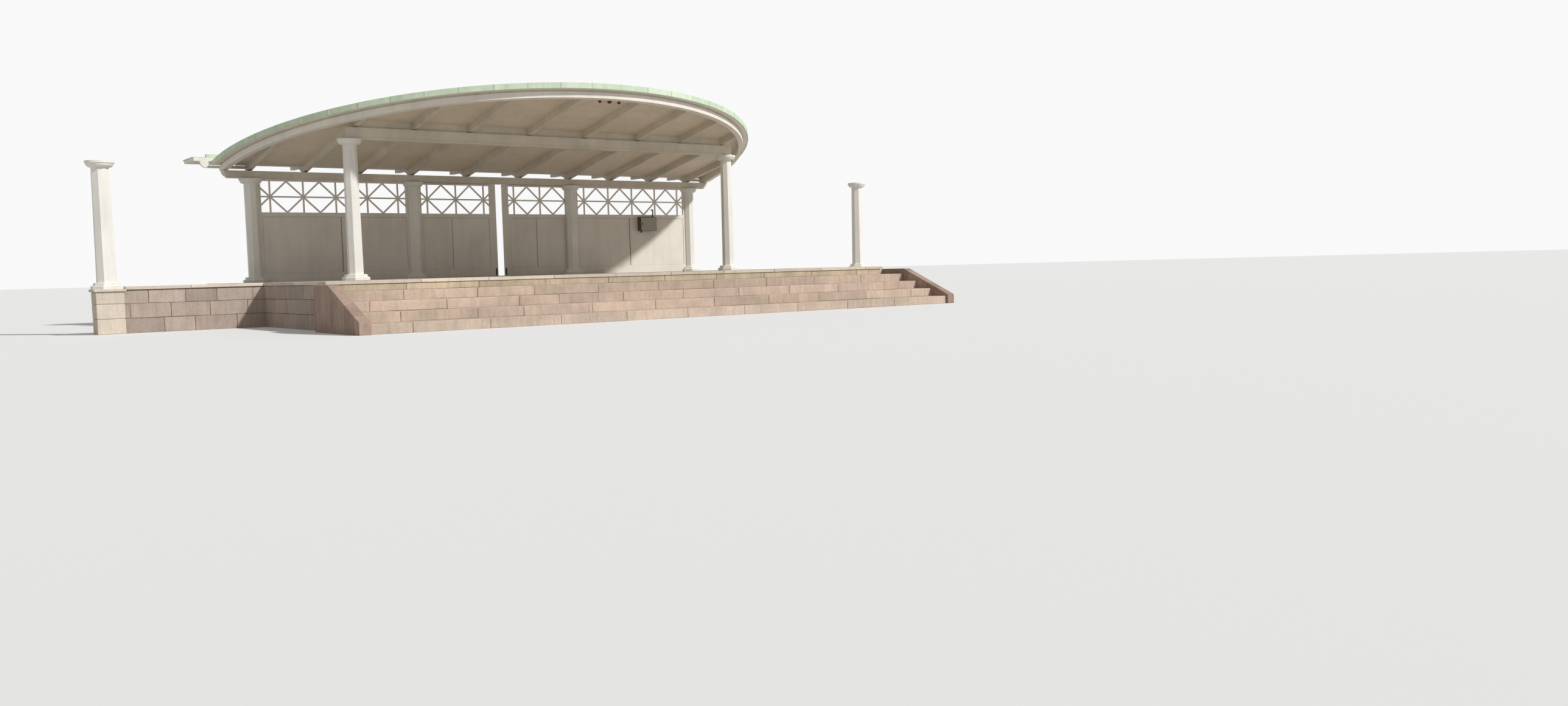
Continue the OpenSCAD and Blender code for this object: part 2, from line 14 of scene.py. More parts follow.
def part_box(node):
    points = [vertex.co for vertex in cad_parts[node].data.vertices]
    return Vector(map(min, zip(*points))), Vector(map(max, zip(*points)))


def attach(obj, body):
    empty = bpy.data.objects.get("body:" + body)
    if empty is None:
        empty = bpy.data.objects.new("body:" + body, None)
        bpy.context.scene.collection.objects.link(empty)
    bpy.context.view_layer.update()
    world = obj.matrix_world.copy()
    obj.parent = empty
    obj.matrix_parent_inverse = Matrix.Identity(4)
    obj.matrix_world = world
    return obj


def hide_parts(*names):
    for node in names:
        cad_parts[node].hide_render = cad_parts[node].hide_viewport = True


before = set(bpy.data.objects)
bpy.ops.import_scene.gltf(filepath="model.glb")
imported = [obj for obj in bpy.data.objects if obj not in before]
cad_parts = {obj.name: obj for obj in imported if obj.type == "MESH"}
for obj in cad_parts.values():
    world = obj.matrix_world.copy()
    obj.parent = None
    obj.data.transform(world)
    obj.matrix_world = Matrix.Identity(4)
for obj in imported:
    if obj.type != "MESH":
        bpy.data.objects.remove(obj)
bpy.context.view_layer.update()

SLAB_LOW, SLAB_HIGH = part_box("floor_slab")
SLAB_Z = SLAB_LOW.z
FLOOR_Z = SLAB_HIGH.z
STAGE_HALF = SLAB_HIGH.x

rng = random.Random(7)


# Camera: where the photograph was taken from, in metres, millimetres and radians
CAMERA_PLACE = (-13.0165, -27.5334, 0.8867)
CAMERA_LENS = 28.135
CAMERA_SENSOR = 36
TURN_RIGHT = 0.66847
LOOK_DOWN = 0.07039
LEAN = 0.02581


def place_camera():
    data = bpy.data.cameras.new("camera")
    data.sensor_width = CAMERA_SENSOR
    data.lens = CAMERA_LENS
    data.clip_end = 1000
    camera = bpy.data.objects.new("camera", data)
    turn = (
        Matrix.Rotation(-TURN_RIGHT, 4, "Z")
        @ Matrix.Rotation(math.pi / 2 - LOOK_DOWN, 4, "X")
        @ Matrix.Rotation(-LEAN, 4, "Z")
    )
    camera.matrix_world = Matrix.Translation(CAMERA_PLACE) @ turn
    bpy.context.scene.collection.objects.link(camera)
    bpy.context.scene.camera = camera


place_camera()


# Node helpers
def new_material(name):
    """An empty material with a Principled shader on its output."""
    material = bpy.data.materials.new(name)
    material.use_nodes = True
    tree = material.node_tree
    tree.nodes.clear()
    out = tree.nodes.new("ShaderNodeOutputMaterial")
    shader = tree.nodes.new("ShaderNodeBsdfPrincipled")
    tree.links.new(shader.outputs["BSDF"], out.inputs["Surface"])
    return material, tree, shader


def set_input(tree, socket, value):
    if isinstance(value, bpy.types.NodeSocket):
        tree.links.new(value, socket)
    else:
        socket.default_value = value


def set_inputs(tree, node, **inputs):
    """Links or sets a node's inputs by name, with an underscore for a space."""
    for name, value in inputs.items():
        set_input(tree, node.inputs[name.replace("_", " ")], value)
    return node


def add_node(tree, kind, **inputs):
    return set_inputs(tree, tree.nodes.new(kind), **inputs)


def colour(red, green, blue):
    """A screen colour, each part 0 to 255, as linear light."""
    def linear(v):
        v /= 255
        return v / 12.92 if v <= 0.04045 else ((v + 0.055) / 1.055) ** 2.4
    return (linear(red), linear(green), linear(blue), 1)


def noise(tree, coords, scale, detail, roughness):
    node = add_node(tree, "ShaderNodeTexNoise", Vector=coords, Scale=scale, Detail=detail,
                    Roughness=roughness)
    return node.outputs["Fac"]


def ramp(tree, value, low, high, to_low=0.0, to_high=1.0):
    """A value stretched from one range to another and held inside it."""
    node = add_node(tree, "ShaderNodeMapRange", Value=value, From_Min=low, From_Max=high,
                    To_Min=to_low, To_Max=to_high)
    return node.outputs["Result"]


def maths(tree, operation, a, b):
    node = tree.nodes.new("ShaderNodeMath")
    node.operation = operation
    set_input(tree, node.inputs[0], a)
    set_input(tree, node.inputs[1], b)
    return node.outputs[0]


def mix(tree, factor, a, b, blend="MIX"):
    """Two colours mixed; the node's sockets go by number, because its names repeat."""
    node = tree.nodes.new("ShaderNodeMix")
    node.data_type = "RGBA"
    node.blend_type = blend
    for socket, value in ((0, factor), (6, a), (7, b)):
        set_input(tree, node.inputs[socket], value)
    return node.outputs[2]


def lay_over(tree, mask, share, under, over):
    """One colour over another where a mask is, at a share of the mask's strength."""
    return mix(tree, maths(tree, "MULTIPLY", mask, share), under, over)


def object_coords(tree, scale=(1, 1, 1)):
    coords = tree.nodes.new("ShaderNodeTexCoord").outputs["Object"]
    return add_node(tree, "ShaderNodeMapping", Vector=coords, Scale=scale).outputs["Vector"]


def tone_ramp(tree, low, high):
    """A value from the tone attribute of a piece, which goes from -1 to 1 and is 0 without one."""
    tone = tree.nodes.new("ShaderNodeAttribute")
    tone.attribute_name = "tone"
    return ramp(tree, tone.outputs["Fac"], -1, 1, low, high)


def bump(tree, height, strength, distance):
    node = add_node(tree, "ShaderNodeBump", Height=height, Strength=strength, Distance=distance)
    return node.outputs["Normal"]


def new_group(name, inputs, outputs):
    """A node group; inputs and outputs are (name, kind, default) and (name, kind)."""
    group = bpy.data.node_groups.new(name, "ShaderNodeTree")
    for label, kind, default in inputs:
        socket = group.interface.new_socket(label, in_out="INPUT", socket_type=kind)
        socket.default_value = default
    for label, kind in outputs:
        group.interface.new_socket(label, in_out="OUTPUT", socket_type=kind)
    return group, group.nodes.new("NodeGroupInput").outputs, group.nodes.new("NodeGroupOutput").inputs


def use_group(tree, group, **inputs):
    node = tree.nodes.new("ShaderNodeGroup")
    node.node_tree = group
    return set_inputs(tree, node, **inputs).outputs


def weathering_group():
    """Soft patches and small spots of dirt in a colour, and a mask of where they lie."""
    group, given, out = new_group(
        "weathering",
        [("Coords", "NodeSocketVector", (0, 0, 0)), ("Colour", "NodeSocketColor", (1, 1, 1, 1)),
         ("Dirt", "NodeSocketColor", (0.2, 0.2, 0.15, 1)), ("Patches", "NodeSocketFloat", 0.15),
         ("Spots", "NodeSocketFloat", 0.1), ("Scale", "NodeSocketFloat", 1.0)],
        [("Colour", "NodeSocketColor"), ("Mask", "NodeSocketFloat")])
    coords = given["Coords"]
    broad = ramp(group, noise(group, coords, given["Scale"], 5.0, 0.6), 0.35, 0.75)
    fine = maths(group, "MULTIPLY", given["Scale"], 14.0)
    spots = ramp(group, noise(group, coords, fine, 3.0, 0.65), 0.56, 0.72)
    soiled = lay_over(group, broad, given["Patches"], given["Colour"], given["Dirt"])
    soiled = lay_over(group, spots, given["Spots"], soiled, given["Dirt"])
    group.links.new(soiled, out["Colour"])
    group.links.new(maths(group, "MAXIMUM", broad, spots), out["Mask"])
    return group


def streaks_group():
    """Streaks that run down a wall, from noise that is drawn out along Z."""
    group, given, out = new_group(
        "streaks", [("Coords", "NodeSocketVector", (0, 0, 0)), ("Scale", "NodeSocketFloat", 3.0)],
        [("Mask", "NodeSocketFloat")])
    stretch = add_node(group, "ShaderNodeMapping", Vector=given["Coords"], Scale=(1, 1, 0.12))
    streaks = noise(group, stretch.outputs["Vector"], given["Scale"], 4.0, 0.6)
    group.links.new(ramp(group, streaks, 0.45, 0.75), out["Mask"])
    return group


WEATHERING = weathering_group()
STREAKS = streaks_group()


# Finishes
def painted_timber(name, base, dirt, patches, spots, grain):
    """Oil paint on boards: brush marks along the grain, dirt that has settled in patches."""
    material, tree, shader = new_material(name)
    coords = object_coords(tree)
    worn = use_group(tree, WEATHERING, Coords=coords, Colour=base, Dirt=dirt, Patches=patches,
                     Spots=spots, Scale=1.3)
    run = use_group(tree, STREAKS, Coords=coords, Scale=6.0)["Mask"]
    brush = noise(tree, object_coords(tree, grain), 9.0, 4.0, 0.7)
    set_inputs(tree, shader,
               Base_Color=lay_over(tree, run, 0.12, worn["Colour"], dirt),
               Roughness=ramp(tree, worn["Mask"], 0, 1, 0.5, 0.7),
               Normal=bump(tree, brush, 0.35, 0.002))
    return material


def granite(name, base, second, dark, soil=0.3):
    """Split granite: grains of two colours, dark specks, dirt in patches and in streaks.

    The tone attribute of a piece makes its blocks differ, from -1, dark, to 1, pale.
    """
    material, tree, shader = new_material(name)
    coords = object_coords(tree)
    grains = ramp(tree, noise(tree, coords, 60.0, 3.0, 0.7), 0.4, 0.62)
    specks = ramp(tree, noise(tree, coords, 110.0, 2.0, 0.6), 0.62, 0.7)
    broad = ramp(tree, noise(tree, coords, 0.9, 2.0, 0.5), 0.4, 0.62)
    stone = mix(tree, grains, base, second)
    stone = lay_over(tree, broad, 0.35, stone, second)
    stone = lay_over(tree, specks, 0.5, stone, dark)
    stone = mix(tree, 1.0, stone, tone_ramp(tree, 0.82, 1.1), "MULTIPLY")
    worn = use_group(tree, WEATHERING, Coords=coords, Colour=stone, Dirt=dark, Patches=soil,
                     Spots=0.3, Scale=2.2)
    run = use_group(tree, STREAKS, Coords=coords, Scale=14.0)["Mask"]
    face = maths(tree, "ADD", noise(tree, coords, 18.0, 6.0, 0.7),
                 maths(tree, "MULTIPLY", grains, 0.1))
    set_inputs(tree, shader,
               Base_Color=lay_over(tree, run, 0.8 * soil, worn["Colour"], dark),
               Roughness=0.85,
               Normal=bump(tree, face, 0.6, 0.008))
    return material


def green_copper(name):
    """Old copper: pale green patina, darker where the rain runs, brown where it is rubbed.

    The tone attribute of a piece makes its sheets differ, from -1, dark, to 1, pale.
    """
    material, tree, shader = new_material(name)
    coords = object_coords(tree)
    patina = ramp(tree, noise(tree, coords, 3.0, 6.0, 0.65), 0.35, 0.7)
    sheet = tone_ramp(tree, -0.35, 0.35)
    green = mix(tree, maths(tree, "ADD", patina, sheet), colour(196, 216, 186),
                colour(220, 231, 206))
    run = use_group(tree, STREAKS, Coords=coords, Scale=9.0)["Mask"]
    green = lay_over(tree, run, 0.3, green, colour(142, 160, 130))
    rubbed = ramp(tree, noise(tree, coords, 11.0, 5.0, 0.7), 0.66, 0.76)
    set_inputs(tree, shader,
               Base_Color=lay_over(tree, rubbed, 0.5, green, colour(104, 92, 76)),
               Roughness=ramp(tree, rubbed, 0, 1, 0.7, 0.5),
               Normal=bump(tree, patina, 0.2, 0.003))
    return material


def metal(name, base, worn, roughness, metallic, rust=0.3):
    """Painted or bare metal with a worn second colour in spots."""
    material, tree, shader = new_material(name)
    spots = ramp(tree, noise(tree, object_coords(tree), 12.0, 6.0, 0.7), 0.5, 0.7)
    set_inputs(tree, shader,
               Base_Color=lay_over(tree, spots, rust, base, worn),
               Roughness=ramp(tree, spots, 0, 1, roughness, min(1.0, roughness + 0.3)),
               Metallic=metallic,
               Normal=bump(tree, spots, 0.15, 0.001))
    return material


DIRT = colour(130, 118, 98)
UPRIGHT = (9, 9, 0.6)
LENGTHWAYS = (0.5, 8, 8)
wall_paint = painted_timber("wall_paint", colour(234, 227, 216), DIRT, 0.14, 0.05, UPRIGHT)
edge_paint = painted_timber("edge_paint", colour(238, 232, 220), DIRT, 0.16, 0.06, LENGTHWAYS)
# Beam paint is the edges' paint made darker, with more patches: painted shade of the roof over the
# beams and rafters, and some real dirt.
shaded_beam_paint = painted_timber("shaded_beam_paint", colour(222, 214, 197), DIRT, 0.3, 0.12, LENGTHWAYS)
ceiling_paint = painted_timber("ceiling_paint", colour(230, 217, 196), DIRT, 0.16, 0.06,
                               LENGTHWAYS)
column_paint = painted_timber("column_paint", colour(242, 239, 231), DIRT, 0.12, 0.06,
                              (9, 9, 0.5))
# The gap strips are dark: painted shade in the gaps and joints of the sunk panels.
gap_shade = painted_timber("gap_shade", colour(140, 127, 106), colour(92, 82, 66), 0.25, 0.12,
                          (1, 1, 1))
step_granite = granite("step_granite", colour(220, 196, 178), colour(200, 180, 162),
                       colour(120, 110, 96), 0.36)
# The cheek walls' granite is the steps' stone made darker: painted shade on their inner faces, and
# weathering.
shaded_cheek_granite = granite("shaded_cheek_granite", colour(190, 160, 142), colour(168, 146, 132),
                        colour(84, 70, 60), 0.4)
wall_granite = granite("wall_granite", colour(196, 174, 160), colour(176, 162, 150),
                       colour(98, 90, 80), 0.3)
slab_stone = granite("slab_stone", colour(232, 218, 200), colour(214, 202, 184),
                     colour(136, 124, 106), 0.2)
band_stone = granite("band_stone", colour(222, 206, 180), colour(204, 188, 160),
                     colour(112, 96, 74), 0.42)
paving_stone = granite("paving_stone", colour(186, 174, 160), colour(168, 158, 146),
                       colour(112, 104, 94), 0.3)
mortar = granite("mortar", colour(136, 126, 114), colour(120, 112, 102), colour(70, 64, 58))
copper = green_copper("copper")
box_steel = metal("box_steel", colour(166, 160, 148), colour(124, 116, 102), 0.45, 0.0)
# The switch box's body, conduit, lid and gland are dark: a dark brown body, with painted shade on its
# sides and top.
dark_steel = metal("dark_steel", colour(92, 80, 62), colour(60, 50, 40), 0.6, 0.0)
track_steel = metal("track_steel", colour(92, 90, 86), colour(96, 66, 44), 0.45, 0.8)
dark_iron = metal("dark_iron", colour(58, 56, 52), colour(84, 60, 44), 0.55, 0.4)
lamp_rust = metal("lamp_rust", colour(120, 84, 58), colour(66, 46, 34), 0.75, 0.0, 0.7)

FINISHES = {
    "stage_base": mortar,
    "floor_slab": slab_stone,
    "step_": step_granite,
    "cheek_wall": shaded_cheek_granite,
    "wing_wall": wall_granite,
    "column_plinth": slab_stone,
    "_column": column_paint,
    "_post": column_paint,
    "bay_wall": wall_paint,
    "door_panel": wall_paint,
    "lattice": wall_paint,
    "door_track": track_steel,
    # The beams and rafters take the darker paint, which holds painted shade.
    "long_beam": shaded_beam_paint,
    "head_plate": shaded_beam_paint,
    "front_beam": shaded_beam_paint,
    "beam_blocking": shaded_beam_paint,
    "rafters": shaded_beam_paint,
    "ceiling_boards": ceiling_paint,
    "ring": edge_paint,
    "metal_roof": copper,
    "rear_eave": edge_paint,
    "eave_metal": copper,
    "eave_brackets": edge_paint,
    "switch_box": dark_steel,
    "ceiling_lights": lamp_rust,
}


def finish_nodes():
    """Each node gets the first finish whose key is in its name."""
    for name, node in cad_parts.items():
        finish = next(material for key, material in FINISHES.items() if key in name)
        if not node.material_slots:
            node.data.materials.append(finish)
        for slot in node.material_slots:
            slot.material = finish


finish_nodes()


# Making pieces
def new_piece(name, bm, material, body="bandstand", replaced=()):
    """An object from a bmesh, on a body and the nodes that it stands for."""
    mesh = bpy.data.meshes.new(name)
    bm.to_mesh(mesh)
    bm.free()
    piece = bpy.data.objects.new(name, mesh)
    bpy.context.scene.collection.objects.link(piece)
    mesh.materials.append(material)
    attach(piece, body)
    if replaced:
        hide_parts(*replaced)


def tone_layer(bm):
    return bm.verts.layers.float.get("tone") or bm.verts.layers.float.new("tone")


def once(parts):
    """Each part of a mesh once, in the order in which it first comes."""
    return list(dict.fromkeys(parts))


def round_edges(bm, verts, bevel, segments):
    edges = once(edge for vert in verts for edge in vert.link_edges)
    bmesh.ops.bevel(bm, geom=edges, offset=bevel, segments=segments, affect="EDGES",
                    profile=0.5, material=-1, clamp_overlap=True)


def turn_out(bm, verts):
    """Turns the faces at some vertices outwards."""
    faces = once(face for vert in verts for face in vert.link_faces)
    bmesh.ops.recalc_face_normals(bm, faces=faces)


def add_box(bm, low, high, bevel=0.0, segments=1, jitter=0.0, tone=0.0):
    """A box between two corners, with its corners moved a little and its edges rounded."""
    layer = tone_layer(bm) if tone else None
    low, high = Vector(low), Vector(high)
    place = Matrix.Translation((low + high) / 2) @ Matrix.Diagonal((*(high - low), 1))
    verts = bmesh.ops.create_cube(bm, size=1.0, matrix=place)["verts"]
    if jitter:
        for vert in verts:
            vert.co += Vector([rng.uniform(-jitter, jitter) for _ in range(3)])
    if tone:
        for vert in verts:
            vert[layer] = tone
    if bevel:
        round_edges(bm, verts, bevel, segments)


def add_strip(bm, x, width, depth, height, bevel=0.0, segments=1):
    """A box with its width centred on x, between two values of y and two of z."""
    add_box(bm, (x - width / 2, depth[0], height[0]), (x + width / 2, depth[1], height[1]),
            bevel, segments)


def add_prism(bm, outline, x0, x1, bevel, segments, tone):
    """A solid with an outline in the YZ plane, from x0 to x1."""
    layer = tone_layer(bm)
    verts = [bm.verts.new((x0, y, z)) for y, z in outline]
    face = bm.faces.new(verts)
    made = bmesh.ops.extrude_face_region(bm, geom=[face], use_keep_orig=True)["geom"]
    moved = [part for part in made if isinstance(part, bmesh.types.BMVert)]
    bmesh.ops.translate(bm, verts=moved, vec=(x1 - x0, 0, 0))
    verts += moved
    for vert in verts:
        vert[layer] = tone
    turn_out(bm, verts)
    round_edges(bm, verts, bevel, segments)


def add_rod(bm, foot, top, radius, segments=12):
    """A round rod between two points."""
    foot, top = Vector(foot), Vector(top)
    turn = (top - foot).to_track_quat("Z", "Y").to_matrix().to_4x4()
    place = Matrix.Translation((foot + top) / 2) @ turn
    bmesh.ops.create_cone(bm, cap_ends=True, segments=segments, radius1=radius, radius2=radius,
                          depth=(top - foot).length, matrix=place)


def spaced(start, end, length, first=None, spread=0.0):
    """Joint places between start and end, about length apart, one of them at first.

    Joints that would leave a very short piece at an end are left out.
    """
    shortest = 0.25 * length
    first = start + length if first is None else first
    count = math.floor((first - start) / length)
    place = first - count * length
    places = []
    while place < end - shortest:
        if place > start + shortest:
            places.append(place + rng.uniform(-spread, spread))
        place += length
    return [start] + places + [end]


# Stone: gaps between blocks and their depth, how far copings stand over, and the courses' feet
GAP = 0.006
JOINT_DEPTH = 0.014
OVER = 0.03
COURSES = (0.0, 0.27, 0.53)
BLOCK_LENGTH = 1.31
STEP_JOINTS = {
    1: (-3.93, -2.83, -1.52, -0.2),
    2: (-3.36, -2.58, 0.07),
    3: (-4.34, -3.5, -2.17, 0.47),
    4: (-3.03, 0.86),
}
CORE_HALF, CORE_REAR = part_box("stage_base")[1].xy


def add_course(bm, low, high, axis, joints, **edges):
    """A row of blocks between two corners, parted at the joints along one axis."""
    for a, b in zip(joints, joints[1:]):
        block_low, block_high = list(low), list(high)
        block_low[axis] = a + GAP / 2
        block_high[axis] = b - GAP / 2
        add_box(bm, block_low, block_high, tone=rng.uniform(-1, 1), **edges)


def lay_steps():
    """Four courses of blocks, with the joints that the photograph shows; step 1 is the top one."""
    spread = 0.015
    for k, seen in STEP_JOINTS.items():
        low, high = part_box(f"step_{k}")
        bm = bmesh.new()
        joints = spaced(low.x, seen[0], BLOCK_LENGTH, seen[0], spread)
        for a, b in zip(seen, seen[1:]):
            count = round((b - a) / BLOCK_LENGTH)
            joints += [a + (b - a) * i / count for i in range(1, count + 1)]
        joints += spaced(seen[-1], high.x, BLOCK_LENGTH, None, spread)[1:]
        add_course(bm, low, high, 0, joints, bevel=0.008, segments=2, jitter=0.0025)
        new_piece(f"step_{k}_blocks", bm, step_granite, replaced=(f"step_{k}",))


def lay_floor():
    """Paving on the stage: a row of edge stones all round and square-cut slabs inside it."""
    low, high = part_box("floor_slab")
    edge, slab, spread = 0.42, 0.9, 0.03
    stone = {"bevel": 0.006, "jitter": 0.0015}
    bm = bmesh.new()
    for y0, y1 in ((low.y, low.y + edge), (high.y - edge, high.y)):
        joints = spaced(low.x, high.x, BLOCK_LENGTH, 0.55, spread)
        add_course(bm, (low.x, y0, low.z), (high.x, y1, high.z), 0, joints, **stone)
    for x0, x1 in ((low.x, low.x + edge), (high.x - edge, high.x)):
        joints = spaced(low.y + edge, high.y - edge, BLOCK_LENGTH, None, spread)
        add_course(bm, (x0, low.y, low.z), (x1, high.y, high.z), 1, joints, **stone)
    new_piece("floor_edge_stones", bm, slab_stone, replaced=("floor_slab",))
    bm = bmesh.new()
    rows = spaced(low.y + edge, high.y - edge, slab)
    for i, (y0, y1) in enumerate(zip(rows, rows[1:])):
        joints = spaced(low.x + edge, high.x - edge, slab, 0.5 * slab * (i % 2))
        add_course(bm, (low.x, y0 + GAP / 2, low.z + 0.002),
                   (high.x, y1 - GAP / 2, high.z - 0.001), 0, joints, **stone)
    new_piece("floor_paving", bm, paving_stone, replaced=("floor_slab",))


def face_base():
    """Facing stones on the sides and back of the stage, and the band under its front edge."""
    proud, sunk = 0.03, 0.02
    length, spread = 0.72, 0.11
    back_shift, side_shift = 0.3, -0.27
    stone = {"bevel": 0.008, "segments": 2, "jitter": 0.003}
    bm = bmesh.new()
    rows = (*COURSES, SLAB_Z)
    front, step_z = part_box("step_1")[1].yz
    for i, (z0, z1) in enumerate(zip(rows, rows[1:])):
        z1 -= GAP
        joints = spaced(-CORE_HALF, CORE_HALF, length, back_shift * i, spread)
        add_course(bm, (-CORE_HALF, CORE_REAR - sunk, z0), (CORE_HALF, CORE_REAR + proud, z1),
                   0, joints, **stone)
        for s in (-1, 1):
            x0, x1 = sorted((s * (CORE_HALF - sunk), s * (CORE_HALF + proud)))
            joints = spaced(front, CORE_REAR, length, side_shift * i, spread)
            add_course(bm, (x0, front, z0), (x1, CORE_REAR, z1), 1, joints, **stone)
    new_piece("base_facing_stones", bm, wall_granite)
    bm = bmesh.new()
    joints = spaced(-STAGE_HALF, STAGE_HALF, BLOCK_LENGTH, 0.35, 0.1)
    add_course(bm, (-STAGE_HALF, front - proud, step_z),
               (STAGE_HALF, front + sunk, SLAB_Z - 0.008), 0, joints, bevel=0.005, jitter=0.0025)
    new_piece("band_under_floor", bm, band_stone)


def build_cheek_walls():
    """Each cheek wall is four blocks: one that bends into the slope, two under it, one at its foot."""
    low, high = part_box("right_cheek_wall")
    level_length, front_z = 0.73, 0.195
    bent_block, next_block, end_block = 0.85, 0.6, 0.24
    level_end = high.y - level_length
    slope = (high.z - front_z) / (level_end - low.y)
    cuts = (high.y, high.y - bent_block, high.y - bent_block - next_block, low.y + end_block,
            low.y)

    def top(y):
        return high.z if y > level_end else high.z - slope * (level_end - y)

    for s, name in ((-1, "left"), (1, "right")):
        bm = bmesh.new()
        x0, x1 = sorted((s * low.x, s * high.x))
        for a, b in zip(cuts, cuts[1:]):
            y0, y1 = b + GAP / 2, a - GAP / 2
            outline = [(y1, 0), (y1, top(y1)), (y0, top(y0)), (y0, 0)]
            if y0 < level_end < y1:
                outline.insert(2, (level_end, high.z))
            add_prism(bm, outline, x0, x1, 0.009, 2, rng.uniform(-0.8, 0.8))
        new_piece(f"{name}_cheek_blocks", bm, shaded_cheek_granite,
                  replaced=(f"{name}_cheek_wall",))


def build_wing_walls():
    """The low walls beside the stage: squared stones on a mortar core, under a flat coping."""
    length, spread, shift = 0.62, 0.09, 0.21
    inset, stone_back = OVER + JOINT_DEPTH, 0.11
    for s, name in ((-1, "left"), (1, "right")):
        low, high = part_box(f"{name}_wing_wall")
        pier_low, pier_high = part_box(f"{name}_column_plinth")
        middle = 0.5 * (low.x + high.x)
        bm = bmesh.new()
        add_box(bm, (low.x + 0.01, low.y + inset, 0), (high.x - 0.01, high.y - inset, SLAB_Z))
        new_piece(f"{name}_wing_core", bm, mortar, replaced=(f"{name}_wing_wall",))
        bm = bmesh.new()
        rows = (*COURSES, SLAB_Z - 0.005)
        for i, (z0, z1) in enumerate(zip(rows, rows[1:])):
            joints = spaced(low.x, high.x, length, middle + shift * i, spread)
            for y0, y1 in ((low.y + OVER, low.y + stone_back), (high.y - stone_back, high.y - OVER)):
                add_course(bm, (low.x, y0, z0), (high.x, y1, z1 - GAP), 0, joints,
                           bevel=0.008, segments=2, jitter=0.003)
        new_piece(f"{name}_wing_stones", bm, wall_granite)
        bm = bmesh.new()
        x0, x1 = (pier_high.x, -STAGE_HALF) if s < 0 else (STAGE_HALF, pier_low.x)
        joints = spaced(x0, x1, 1.1, None, 0.05)
        add_course(bm, (x0, low.y, SLAB_Z), (x1, high.y, FLOOR_Z), 0, joints, bevel=0.007,
                   jitter=0.002)
        new_piece(f"{name}_wing_coping", bm, slab_stone)


def build_plinths():
    """The piers of the free columns: three square blocks and a thin stone on top."""
    inset, cap_h = OVER + JOINT_DEPTH, 0.045
    for name in ("left", "right"):
        low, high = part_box(f"{name}_column_plinth")
        cap_z = high.z - cap_h
        bm = bmesh.new()
        rows = (*COURSES, cap_z)
        for z0, z1 in zip(rows, rows[1:]):
            add_box(bm, (low.x + OVER, low.y + OVER, z0 + 0.002),
                    (high.x - OVER, high.y - OVER, z1 - 0.003), 0.01, 2, 0.003,
                    rng.uniform(-0.5, 0.5))
        add_box(bm, (low.x + inset, low.y + inset, 0.01),
                (high.x - inset, high.y - inset, cap_z + 0.01))
        add_box(bm, (low.x, low.y, cap_z), high, 0.006, 2, 0.0015)
        new_piece(f"{name}_plinth_blocks", bm, slab_stone,
                  replaced=(f"{name}_column_plinth",))


lay_steps()
lay_floor()
face_base()
build_cheek_walls()
build_wing_walls()
build_plinths()


# Copper: it is made level, at its heights over Y = 0, and then sheared to the solids' pitch
PITCH = 0.196
ROOF_CENTRE = Vector((0, 0.27, 0))
EDGE_R = 6.275
RIM_W = 0.06
ROOF_LOW, ROOF_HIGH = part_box("metal_roof")
ROOF_BACK = ROOF_HIGH.y
METAL_TOP = ROOF_HIGH.z + PITCH * ROOF_LOW.y
METAL_FOOT = ROOF_LOW.z + PITCH * ROOF_BACK
TILT = Matrix(((1, 0, 0, 0), (0, 1, 0, 0), (0, -PITCH, 1, 0), (0, 0, 0, 1)))
SHEET_W = 0.65
SEAM_W, WELT_W, WELT_H = 0.014, 0.044, 0.004


def on_edge(angle, radius, z):
    """A point of the round edge; the angle is 0 at its right end and grows clockwise."""
    return ROOF_CENTRE + Vector((radius * math.cos(angle), -radius * math.sin(angle), z))


def add_arc(bm, profile, start, turn, drift, steps, tone):
    """A profile of radius and height, spun along the round edge from a start angle.

    The drift moves the spin's centre along the edge, so that the far end stands out a little.
    """
    layer = tone_layer(bm)
    others = set(bm.verts)
    first = [bm.verts.new(on_edge(start, radius, z)) for radius, z in profile]
    face = bm.faces.new(first)
    along = on_edge(start + math.pi / 2, 1, 0) - ROOF_CENTRE
    bmesh.ops.spin(bm, geom=[face, *face.edges, *first], cent=ROOF_CENTRE + drift * along,
                   axis=(0, 0, -1), angle=turn, steps=steps, use_merge=False,
                   use_duplicate=False)
    verts = [vert for vert in bm.verts if vert not in others]
    for vert in verts:
        vert[layer] = tone
    turn_out(bm, verts)


def clad_edge():
    """Lapped sheets over the round edge of the roof, with a rib at each lap."""
    first = math.asin((ROOF_CENTRE.y - ROOF_BACK) / EDGE_R)
    sweep = math.pi - 2 * first
    count = round(sweep * EDGE_R / SHEET_W)
    turn = sweep / count
    lap_turn = 0.0008
    inner, outer = EDGE_R + 0.001, EDGE_R + 0.004
    top = METAL_TOP + 0.001

    def hook(proud, back, rise, drop):
        """The outline of metal that hangs over the edge and turns back over the rim."""
        end, foot = EDGE_R - RIM_W - back, METAL_FOOT - drop
        return [(outer + proud, foot), (outer + proud, top + rise), (end, top + rise),
                (end, top), (inner, top), (inner, foot)]

    sheet = hook(0, 0.004, 0.003, 0.004)
    rib = hook(0.006, 0.006, 0.008, 0.005)
    bm = bmesh.new()
    for i in range(count):
        start = first + i * turn
        add_arc(bm, sheet, start, turn + lap_turn, rng.uniform(0.0, 0.05), 4, rng.uniform(-1, 1))
        if i:
            add_arc(bm, rib, start - lap_turn, 2 * lap_turn, 0.0, 1, rng.uniform(-1, 0))
    bmesh.ops.transform(bm, matrix=TILT, verts=bm.verts)
    new_piece("copper_edge_sheets", bm, copper)


